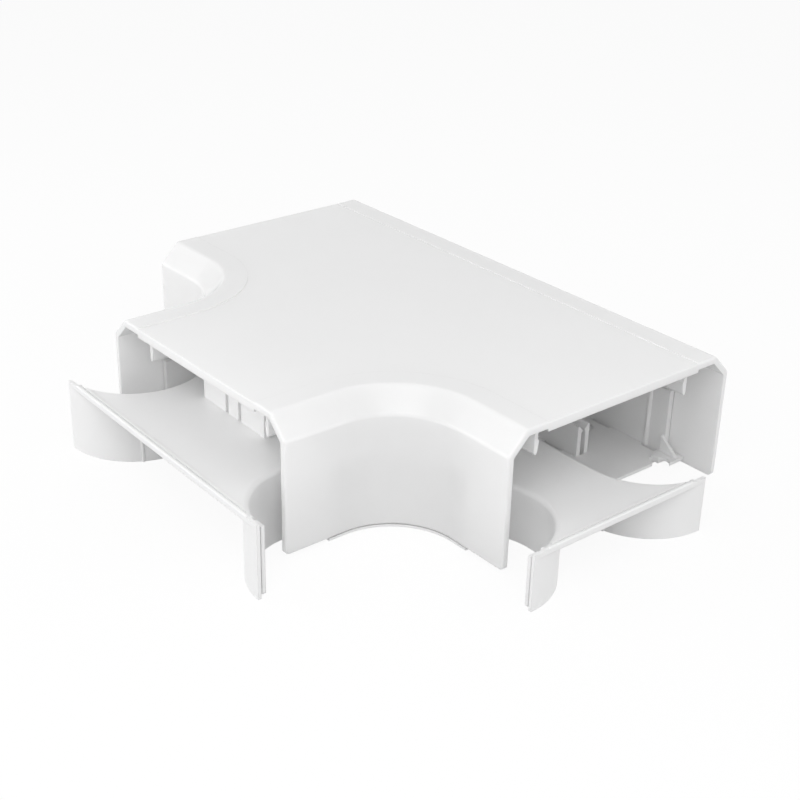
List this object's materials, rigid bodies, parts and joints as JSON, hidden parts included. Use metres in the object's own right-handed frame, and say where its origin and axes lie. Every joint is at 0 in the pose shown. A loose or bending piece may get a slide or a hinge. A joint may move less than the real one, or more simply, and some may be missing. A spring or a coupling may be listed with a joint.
{
  "type": "trunking_tee",
  "caption": "White moulded flat tee for wall trunking: clip-on cover over a shallow base, with flared bridge inserts that keep cables to a wide bend.",
  "frame": {"origin": "On the wall plane, where the run's centre line and the branch's centre line cross.", "axes": "+X along the straight run towards the arm with the narrow insert, -Y along the branch, +Z away from the wall."},
  "size_m": [0.2353, 0.1828, 0.0525],
  "materials": {
    "gloss_white": "smooth"
  },
  "bodies": {
    "base": {"tee_base": "gloss_white", "branch_insert": "gloss_white", "run_insert": "gloss_white"},
    "cover": {"tee_cover": "gloss_white"}
  },
  "joints": [
    {"name": "cover_lift", "type": "slide", "parent": "base", "child": "cover", "axis": [0, 0, 1], "range_m": [0, 0.06]}
  ]
}
